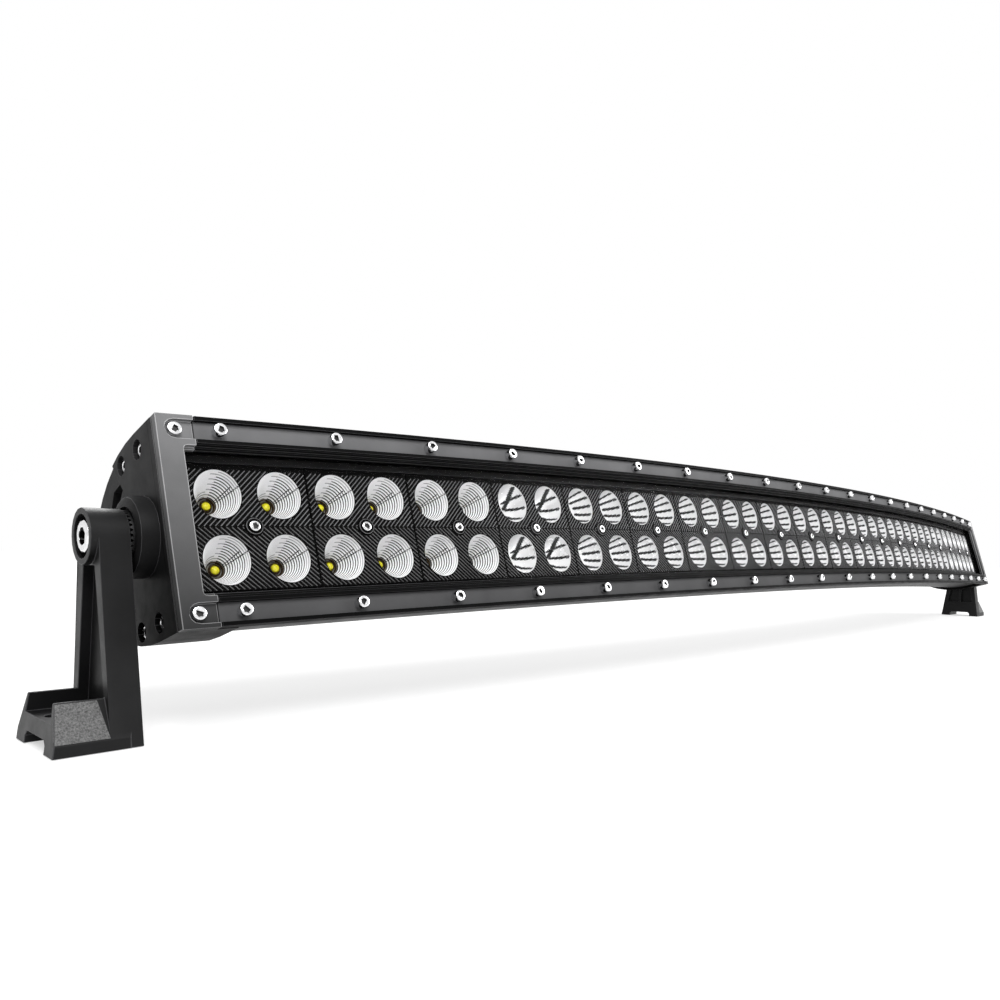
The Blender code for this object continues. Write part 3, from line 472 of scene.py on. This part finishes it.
def ring_points(bm, radius, depth, sides, centre=(0.0, 0.0), turn=0.0, squash=1.0):
    """Points round the Y axis at one depth."""
    points = []
    for i in range(sides):
        angle = turn + math.tau * i / sides
        points.append(bm.verts.new((centre[0] + radius * squash * math.cos(angle), depth,
                                    centre[1] + radius * math.sin(angle))))
    return points


def bridge(bm, ring_a, ring_b, pick=0):
    """Faces between two rings; pick is a material number or a function of the side's number."""
    n = len(ring_a)
    for i in range(n):
        j = (i + 1) % n
        face = bm.faces.new((ring_a[i], ring_a[j], ring_b[j], ring_b[i]))
        face.material_index = pick(i) if callable(pick) else pick


def fill(bm, edges, material):
    """Flat faces between closed loops of edges."""
    made = bmesh.ops.triangle_fill(bm, edges=edges, use_beauty=True, normal=(0, -1, 0))
    for item in made["geom"]:
        if isinstance(item, bmesh.types.BMFace):
            item.material_index = material


def plate_with_holes(bm, outline, holes, depth, material):
    """Flat plate at one depth with round holes; the holes are rings of bmesh points."""
    rim = [bm.verts.new((x, depth, z)) for x, z in outline]
    edges = [bm.edges.new((rim[i], rim[(i + 1) % len(rim)])) for i in range(len(rim))]
    for hole in holes:
        for i in range(len(hole)):
            pair = (hole[i], hole[(i + 1) % len(hole)])
            edges.append(bm.edges.get(pair) or bm.edges.new(pair))
    fill(bm, edges, material)
    return rim


# --- reflector modules ---------------------------------------------------------------------------
SIDES = 96
WHITE, DARK, GREY, BLACK_FACE, RIDGE_INDEX, BOSS_INDEX, BROWN = range(7)
# The ridge slot holds a painted highlight; the dark and grey slots hold painted reflections and shade
# in the cups.
FLOOD_MATS = (CUP_WHITE, CUP_PAINTED_DARK, CUP_PAINTED_GREY, FACE, RIDGE_HIGHLIGHT, FACE, COLLAR)
SPOT_MATS = (CHROME, CHROME_PAINTED_DARK, CHROME_PAINTED_GREY, FACE, RIDGE_HIGHLIGHT, FACE, COLLAR)


def azimuth(i):
    """Middle of side i, in degrees from -180 to 180; 0 is along the bar, 90 is up."""
    return (360.0 * (i + 0.5) / SIDES + 180.0) % 360.0 - 180.0


def near(angle, target, half):
    """Whether an azimuth lies within half of a target, both in degrees."""
    return abs((angle - target + 180.0) % 360.0 - 180.0) < half


def squash_at(t):
    """The cups are round again where they meet the light chip."""
    return SQUASH + (1.0 - SQUASH) * t


def flood_cup(bm, centre):
    """Wide cup of plain rings with a narrow groove between each two, and painted reflections and shade
    in dark and grey on its wall.
    """
    rings = 12
    groove = 0.38
    belly = 0.00022
    mouth = ring_points(bm, FLOOD_R, 0.0, SIDES, centre, squash=SQUASH)
    last = mouth
    for k in range(rings):
        t0 = k / rings
        t1 = (k + 1) / rings
        edge = t1 - groove / rings
        mid_t = (t0 + edge) / 2

        def ring(t, out=0.0):
            radius = FLOOD_R + (EXIT_R - FLOOD_R) * t ** 1.12 + out
            return ring_points(bm, radius, MODULE_DEPTH * t, SIDES, centre, squash=squash_at(t))
        middle = ring(mid_t, belly)
        low = ring(edge)
        step = ring(t1)

        # Painted reflections: dotted dark lines at two azimuths.
        def inner_tone(i, k=k):
            angle = azimuth(i)
            if k == rings - 1:
                return BROWN
            if near(angle, 22.0, 2.0) or (near(angle, 31.0, 2.0) and k > 2):
                return DARK
            return WHITE

        # Painted reflections: grey bands at two azimuths and on the last ring.
        def outer_tone(i, k=k):
            angle = azimuth(i)
            if k == rings - 1:
                return GREY
            if near(angle, 80.0, 3.0) and 1 < k < 9:
                return GREY
            if near(angle, 26.5, 7.0) and k > 8:
                return GREY
            return WHITE

        # Painted reflection and shade: the grooves are pale on one side of the cup and dark on the
        # other.
        def groove_tone(i, k=k):
            angle = azimuth(i)
            if 96.0 < angle < 200.0 or angle < -150.0:
                return WHITE if k < 8 else GREY
            if 78.0 < angle <= 96.0:
                return GREY if k % 2 else WHITE
            return GREY if k < 2 else DARK
        bridge(bm, last, middle, outer_tone)
        bridge(bm, middle, low, inner_tone)
        bridge(bm, low, step, groove_tone)
        last = step
    return mouth


def spot_curve(t):
    """Deep bowl of a narrow-beam cup: (radius, depth) at t from mouth to exit."""
    if t < 0.5:
        return SPOT_R - (SPOT_R * 0.2) * (t / 0.5) ** 1.25, MODULE_DEPTH * 0.55 * (t / 0.5)
    u = (t - 0.5) / 0.5
    return SPOT_R * 0.8 + (EXIT_R - SPOT_R * 0.8) * u ** 1.15, MODULE_DEPTH * (0.55 + 0.45 * u)


# Painted reflections: dark bars in the wall of a narrow-beam cup, mirrored from side to side of it, as
# fans of even bars:
# (number of bars, azimuth of the first, step to the next, lean from its mouth end to its chip end, all
# in degrees, shares of the way from mouth to chip where a bar starts and ends, half width in mouth
# radii).
LEANING_FANS = ((5, -55, 30, 15, 0.10, 0.65, 0.060),)
CROSSED_FANS = ((3, -50, 40, 15, 0.10, 0.75, 0.055), (1, 65, 0, -50, 0.10, 0.80, 0.080))


def wall_point(angle, share):
    """Place on a cup's unrolled wall, in mouth radii."""
    return Vector((math.radians(angle) * (1.0 - 0.55 * share), 1.6 * share))


def reflection_bars_of(fans):
    """The straight painted reflection bars of a cup: (mouth end, chip end, half width) of each."""
    bars = []
    for count, first, step, lean, start, stop, half in fans:
        for k in range(count):
            angle = first + k * step
            bars.append((wall_point(angle, start), wall_point(angle + lean, stop), half))
    return bars


def stretch_away(point, start, stop):
    """Distance from a point to a straight stretch."""
    span = stop - start
    share = max(0.0, min(1.0, (point - start).dot(span) / span.length_squared))
    return (point - (start + span * share)).length


def spot_cup(bm, centre, bars):
    """Narrow-beam cup, mirror bright, with painted reflections as dark bars in its wall."""
    steps = 26
    curve = [spot_curve(k / steps) for k in range(steps + 1)]
    mouth = ring_points(bm, *curve[0], SIDES, centre, squash=SQUASH)
    last = mouth
    for k in range(steps):
        share = (k + 0.5) / steps

        def tone(i, k=k, share=share):
            angle = azimuth(i)
            if abs(angle) > 90.0:
                angle = math.copysign(180.0 - abs(angle), angle)
            here = wall_point(angle, share)
            best = min(stretch_away(here, start, stop) - half for start, stop, half in bars)
            if best < 0.0:
                return DARK
            # Near the chip, painted reflections in dark and grey stripes; a grey painted edge rims
            # each bar.
            if k > steps - 3:
                return DARK if i % 12 < 5 else GREY
            return GREY if best < 0.018 else WHITE
        ring = ring_points(bm, *curve[k + 1], SIDES, centre, squash=squash_at((k + 1) / steps))
        bridge(bm, last, ring, tone)
        last = ring
    return mouth


def clip_circles(a, b, circles):
    """Stretches of the line from a to b, as shares of it, that lie outside all the ellipses."""
    span = b - a
    cuts = []
    for centre, radius, squash in circles:
        rel = a - centre
        rel = Vector((rel.x / squash, rel.y))
        step = Vector((span.x / squash, span.y))
        qa = step.dot(step)
        qb = 2 * rel.dot(step)
        qc = rel.dot(rel) - radius ** 2
        root = qb * qb - 4 * qa * qc
        if root > 0:
            root = math.sqrt(root)
            cuts.append(((-qb - root) / (2 * qa), (-qb + root) / (2 * qa)))
    free = [(0.0, 1.0)]
    for low, high in cuts:
        kept = []
        for start, stop in free:
            if high <= start or low >= stop:
                kept.append((start, stop))
                continue
            if low > start:
                kept.append((start, low))
            if high < stop:
                kept.append((high, stop))
        free = kept
    return [(start, stop) for start, stop in free if (stop - start) * span.length > RIDGE_STUB]


RIDGE_PITCH = 0.00215
RIDGE_W = 0.00042
RIDGE_H = 0.00030
RIDGE_TOP = 0.0236          # the plate is smooth above the cups
RIDGE_INSET = 0.0003        # from the edge of the plate
RIDGE_GAP = 0.00025         # from the middle line, where the chevrons turn
RIDGE_SHORTEST = 0.001
RIDGE_STUB = 0.0006         # shorter stretches between two cups are left out


def ridges(bm, circles):
    """Chevron ridges on the face, pointing along the bar and clear of the cups and the screw."""
    half_w = MODULE_HALF_W - RIDGE_INSET
    half_h = MODULE_HALF_H - RIDGE_INSET
    first = -half_w - half_h
    count = int(2 * (half_w + half_h) / RIDGE_PITCH) + 1
    for k in range(count):
        corner = first + k * RIDGE_PITCH
        for sign in (-1, 1):
            low = max(RIDGE_GAP, -half_w - corner)
            high = min(RIDGE_TOP if sign > 0 else half_h, half_w - corner)
            if high - low < RIDGE_SHORTEST:
                continue
            a = Vector((corner + low, sign * low))
            b = Vector((corner + high, sign * high))
            along = (b - a).normalized()
            side = Vector((-along.y, along.x)) * RIDGE_W / 2
            for start, stop in clip_circles(a, b, circles):
                p = a.lerp(b, start)
                q = a.lerp(b, stop)
                rows = []
                for point in (p, q):
                    rows.append([bm.verts.new((point.x + side.x, 0.0, point.y + side.y)),
                                 bm.verts.new((point.x, -RIDGE_H, point.y)),
                                 bm.verts.new((point.x - side.x, 0.0, point.y - side.y))])
                faces = [bm.faces.new((rows[0][0], rows[0][1], rows[1][1], rows[1][0])),
                         bm.faces.new((rows[0][1], rows[0][2], rows[1][2], rows[1][1])),
                         bm.faces.new(rows[0]), bm.faces.new(list(reversed(rows[1])))]
                for face in faces:
                    face.material_index = RIDGE_INDEX


LIP_W = 0.00010             # rim round the mouth of a cup
RIDGE_CLEAR = 0.0004        # between the ridges and the cups or the boss
SCREW_BOSS_R = 0.0037
SCREW_BOSS_BORE_R = 0.0027
SCREW_BOSS_SIDES = 32


def module_mesh(kind):
    """Two-by-two reflector: black ridged face, four plated cups and the boss of its screw."""
    bm = bmesh.new()
    radius = FLOOD_R if kind == "flood" else SPOT_R
    centres = [(a * LAMP_PITCH / 2, b * ROW_PITCH / 2) for a in (-1, 1) for b in (-1, 1)]
    lips = []
    for centre in centres:
        if kind == "flood":
            mouth = flood_cup(bm, centre)
        else:
            mouth = spot_cup(bm, centre, reflection_bars_of(CROSSED_FANS if kind == "soft" else LEANING_FANS))
        lips.append(ring_points(bm, radius + LIP_W, 0.0, SIDES, centre, squash=SQUASH))
        bridge(bm, mouth, lips[-1], BLACK_FACE)
    boss = ring_points(bm, SCREW_BOSS_R, 0.0, SCREW_BOSS_SIDES)
    last = boss
    for r, depth, tone in ((SCREW_BOSS_R - 0.0003, -0.0009, BOSS_INDEX),
                           # this lip takes the ridges' painted highlight
                           (SCREW_BOSS_R - 0.0005, -0.0010, RIDGE_INDEX),
                           (SCREW_BOSS_BORE_R, -0.0010, BOSS_INDEX),
                           (SCREW_BOSS_BORE_R, 0.0006, BOSS_INDEX)):
        floor = ring_points(bm, r, depth, SCREW_BOSS_SIDES)
        bridge(bm, last, floor, tone)
        last = floor
    bm.faces.new(floor).material_index = BOSS_INDEX
    w, h = MODULE_HALF_W, MODULE_HALF_H
    outline = [(-w, -h), (w, -h), (w, h), (-w, h)]
    rim = plate_with_holes(bm, outline, lips + [boss], 0.0, BLACK_FACE)
    back = [bm.verts.new((x, MODULE_DEPTH, z)) for x, z in outline]
    bridge(bm, rim, back, BLACK_FACE)
    circles = [(Vector(centre), radius + RIDGE_CLEAR, SQUASH) for centre in centres]
    circles.append((Vector((0.0, 0.0)), SCREW_BOSS_R + RIDGE_CLEAR, 1.0))
    ridges(bm, circles)
    mats = FLOOD_MATS if kind == "flood" else SPOT_MATS
    return finish_mesh("module_" + kind, bm, mats, smooth=24)


DOME_R = 0.0018
DOME_H = 0.0016
DOME_BASE = CHIP_TOP - 0.0004
DOME_STEPS = 7
CHIP_SIDES = 28


def dome_mesh():
    """Yellow light chips under domes, each in its collar, for one module."""
    bm = bmesh.new()
    for a in (-1, 1):
        for b in (-1, 1):
            centre = (a * LAMP_PITCH / 2, b * ROW_PITCH / 2)
            last = None
            for k in range(DOME_STEPS):
                angle = math.radians(90.0 * k / DOME_STEPS)
                ring = ring_points(bm, DOME_R * math.cos(angle), DOME_BASE - DOME_H * math.sin(angle),
                                   CHIP_SIDES, centre)
                if last:
                    bridge(bm, last, ring, 0)
                else:
                    base = ring
                last = ring
            bm.faces.new(last).material_index = 0
            rim = ring_points(bm, 0.0021, CHIP_TOP - 0.0012, CHIP_SIDES, centre)
            bridge(bm, base, rim, 1)
            foot = ring_points(bm, 0.0026, CHIP_TOP + 0.0003, CHIP_SIDES, centre)
            bridge(bm, rim, foot, 1)
            bm.faces.new(foot).material_index = 1
    return finish_mesh("chip_domes", bm, (PHOSPHOR, COLLAR), smooth=40)


# --- toothed washers -----------------------------------------------------------------------------
WASHER_R = 0.0102
WASHER_T = 0.0022
TOOTH_H = 0.0010


def washer_mesh():
    """Serrated washer about Y, its teeth standing towards -Y."""
    bm = bmesh.new()
    teeth = 32
    sides = 4 * teeth
    lift = (0.0, TOOTH_H, TOOTH_H, 0.0)
    rows = []
    for radius, toothed in ((0.0043, False), (WASHER_R, False), (WASHER_R, True), (0.0046, True)):
        row = []
        for i in range(sides):
            angle = math.tau * i / sides
            y = -WASHER_T - lift[i % 4] if toothed else 0.0
            row.append(bm.verts.new((radius * math.cos(angle), y, radius * math.sin(angle))))
        rows.append(row)
    for row_a, row_b in zip(rows, rows[1:] + rows[:1]):
        bridge(bm, row_a, row_b)
    return finish_mesh("washer", bm, (DARK_STEEL,), smooth=30)


# --- screws --------------------------------------------------------------------------------------
SCREW_SIDES = 28


def screw_mesh(name, radius, height, socket=0.0013, deep=0.0011):
    """Socket screw along -Y: its seat is at y 0 and its head stands towards -Y."""
    bm = bmesh.new()
    soft = min(0.0004, height * 0.25)
    profile = [(radius * 0.97, 0.0), (radius, 0.0001), (radius, -(height - soft)),
               (radius - soft * 0.35, -(height - soft * 0.3)), (radius - soft, -height)]
    last = None
    for r, y in profile:
        ring = ring_points(bm, r, y, SCREW_SIDES)
        if last:
            bridge(bm, last, ring, 0)
        else:
            bm.faces.new(ring).material_index = 0
        last = ring
    rim = ring_points(bm, socket * 1.28, -height, SCREW_SIDES)
    bridge(bm, last, rim, 0)
    lip = ring_points(bm, socket * 1.15, -height + 0.0002, SCREW_SIDES)
    bridge(bm, rim, lip, 0)
    corner = socket / math.cos(math.pi / 6)
    hexagon = ring_points(bm, corner, -height + 0.0002, 6, turn=math.pi / 6)
    edges = [bm.edges.get((lip[i], lip[(i + 1) % SCREW_SIDES])) for i in range(SCREW_SIDES)]
    edges += [bm.edges.new((hexagon[i], hexagon[(i + 1) % 6])) for i in range(6)]
    fill(bm, edges, 0)
    floor = ring_points(bm, corner, -height + deep, 6, turn=math.pi / 6)
    # The socket's walls and floor take the painted shade.
    bridge(bm, hexagon, floor, 1)
    bm.faces.new(floor).material_index = 1
    return finish_mesh(name, bm, (STEEL, SOCKET_SHADE), smooth=35)


def spun(matrix):
    """The same place, turned about the screw's own axis by a random angle."""
    return matrix @ Matrix.Rotation(random.uniform(0, math.tau), 4, "Y")


rail_screw = screw_mesh("rail_screw", 0.0025, 0.0043)
corner_screw = screw_mesh("corner_screw", 0.0026, 0.0023)
module_screw = screw_mesh("module_screw", 0.0022, 0.0019, socket=0.0012, deep=0.0008)
cap_screw = screw_mesh("cap_screw", 0.0027, 0.0016, socket=0.0014, deep=0.0009)

meshes = {kind: module_mesh(kind) for kind in ("flood", "spot", "soft")}
domes = dome_mesh()
for index in range(MODULES):
    from_end = min(index, MODULES - 1 - index)
    kind = "flood" if from_end < FLOOD_MODULES else "soft" if from_end == FLOOD_MODULES else "spot"
    at = on_arc((index + 0.5 - MODULES / 2) * 2 * LAMP_PITCH)
    place("module_%02d" % (index + 1), meshes[kind], at, "bar", "reflector",
          ["reflector_%02d" % (index + 1)])
    place("chip_domes_%02d" % (index + 1), domes, at, "bar", "led_board")
    place("module_screw_%02d" % (index + 1), module_screw,
          spun(at @ Matrix.Translation((0, 0.0005, 0))), "bar", "stainless")

RAIL_SCREWS = 21
RAIL_SCREW_END = 0.4870
for i in range(RAIL_SCREWS):
    s = -RAIL_SCREW_END + 2 * RAIL_SCREW_END * i / (RAIL_SCREWS - 1)
    for side, word in ((1, "top"), (-1, "bottom")):
        place("rail_screw_%s_%02d" % (word, i + 1), rail_screw,
              spun(on_arc(s, CHANNEL_FLOOR, side * SCREW_LINE)), "bar", "stainless")

CORNER_X = END_X - 0.0068
washer = washer_mesh()
for end, word in ((-1, "left"), (1, "right")):
    outward = Matrix.Rotation(end * math.pi / 2, 4, "Z")
    for side, level in ((1, "top"), (-1, "bottom")):
        place("corner_screw_%s_%s" % (word, level), corner_screw,
              spun(on_cut(end * CORNER_X, CHANNEL_FLOOR, side * SCREW_LINE)), "bar", "stainless")
    for i, (y, z) in enumerate(CAP_SCREWS):
        seat = UPRIGHT @ Matrix.Translation((end * (END_X - CAP_SEAT_DEEP), y, z))
        place("cap_screw_%s_%d" % (word, i + 1), cap_screw, spun(seat @ outward), "bar", "stainless")
    cup = UPRIGHT @ Matrix.Translation((end * (BOSS_FACE - WASHER_SEAT), 0.0, 0.0))
    place("washer_" + word, washer, cup @ outward, "bar", "dark_steel", ["toothed_washer_" + word])


# --- stage, light and camera ---------------------------------------------------------------------
def to_eye(tree):
    """1 for rays that look at the stage directly, in a gloss or through glass, else 0."""
    path = tree.nodes.new("ShaderNodeLightPath")
    total = path.outputs["Is Camera Ray"]
    for name in ("Is Glossy Ray", "Is Transmission Ray"):
        add = tree.nodes.new("ShaderNodeMath")
        add.operation = "MAXIMUM"
        tree.links.new(total, add.inputs[0])
        tree.links.new(path.outputs[name], add.inputs[1])
        total = add.outputs["Value"]
    return total


def build_floor():
    """Pale floor that takes the object's shadow and brightens to white with distance from it."""
    bpy.ops.mesh.primitive_plane_add(size=14.0, location=(0, 0.0, -0.0003))
    floor = bpy.context.object
    floor.name = "floor"
    mat = bpy.data.materials.new("floor_pale")
    mat.use_nodes = True
    tree = mat.node_tree
    shader = tree.nodes["Principled BSDF"]
    shader.inputs["Base Color"].default_value = (0.55, 0.55, 0.55, 1)
    shader.inputs["Roughness"].default_value = 0.9
    shader.inputs["Specular IOR Level"].default_value = 0.0
    shader.inputs["Emission Color"].default_value = (1, 1, 1, 1)
    where = tree.nodes.new("ShaderNodeTexCoord")
    away = tree.nodes.new("ShaderNodeVectorMath")
    away.operation = "LENGTH"
    tree.links.new(where.outputs["Object"], away.inputs[0])
    glow = tree.nodes.new("ShaderNodeMapRange")
    for key, number in (("From Min", 0.9), ("From Max", 2.6), ("To Min", 0.55), ("To Max", 0.80)):
        glow.inputs[key].default_value = number
    tree.links.new(away.outputs["Value"], glow.inputs["Value"])
    lift = tree.nodes.new("ShaderNodeMath")
    lift.operation = "MULTIPLY"
    tree.links.new(to_eye(tree), lift.inputs[0])
    tree.links.new(glow.outputs["Result"], lift.inputs[1])
    tree.links.new(lift.outputs["Value"], shader.inputs["Emission Strength"])
    floor.data.materials.append(mat)


def build_world():
    """White surroundings that light the object less brightly than they look."""
    world = bpy.data.worlds.new("studio")
    bpy.context.scene.world = world
    world.use_nodes = True
    tree = world.node_tree
    back = tree.nodes["Background"]
    back.inputs["Color"].default_value = (1, 1, 1, 1)
    span = tree.nodes.new("ShaderNodeMapRange")
    span.inputs["To Min"].default_value = 0.45
    span.inputs["To Max"].default_value = 1.0
    tree.links.new(to_eye(tree), span.inputs["Value"])
    tree.links.new(span.outputs["Result"], back.inputs["Strength"])


def area_light(name, place_at, target, size, power):
    data = bpy.data.lights.new(name, "AREA")
    data.size = size
    data.energy = power
    obj = bpy.data.objects.new(name, data)
    bpy.context.scene.collection.objects.link(obj)
    obj.location = place_at
    aim = Vector(target) - Vector(place_at)
    obj.rotation_euler = aim.to_track_quat("-Z", "Y").to_euler()


def build_camera():
    """The photograph's view, from a camera fitted to the lamps, screws, corners and feet."""
    yaw, pitch, roll = (math.radians(a) for a in (46.307, -3.268, 1.067))
    ahead = Vector((math.sin(yaw) * math.cos(pitch), math.cos(yaw) * math.cos(pitch), math.sin(pitch)))
    right = Vector((math.cos(yaw), -math.sin(yaw), 0.0))
    up = right.cross(ahead)
    right, up = (math.cos(roll) * right + math.sin(roll) * up,
                 math.cos(roll) * up - math.sin(roll) * right)
    data = bpy.data.cameras.new("camera")
    data.sensor_width = 36.0
    data.lens = 29.007
    data.shift_x = -0.03111
    data.shift_y = 0.09764
    data.clip_start = 0.01
    camera = bpy.data.objects.new("camera", data)
    bpy.context.scene.collection.objects.link(camera)
    turn = Matrix((right, up, -ahead)).transposed().to_4x4()
    camera.matrix_world = Matrix.Translation((-0.63121, -0.32201, 0.07313)) @ turn
    bpy.context.scene.camera = camera


build_floor()
build_world()
area_light("key", (-0.9, -1.3, 1.5), (-0.2, 0.0, 0.05), 1.1, 40.0)
area_light("back", (0.5, 1.7, 1.5), (0.0, 0.0, 0.05), 1.2, 24.0)
area_light("side", (1.6, -1.6, 1.0), (0.2, 0.0, 0.05), 1.2, 28.0)
build_camera()
bpy.context.scene.view_settings.view_transform = "Standard"
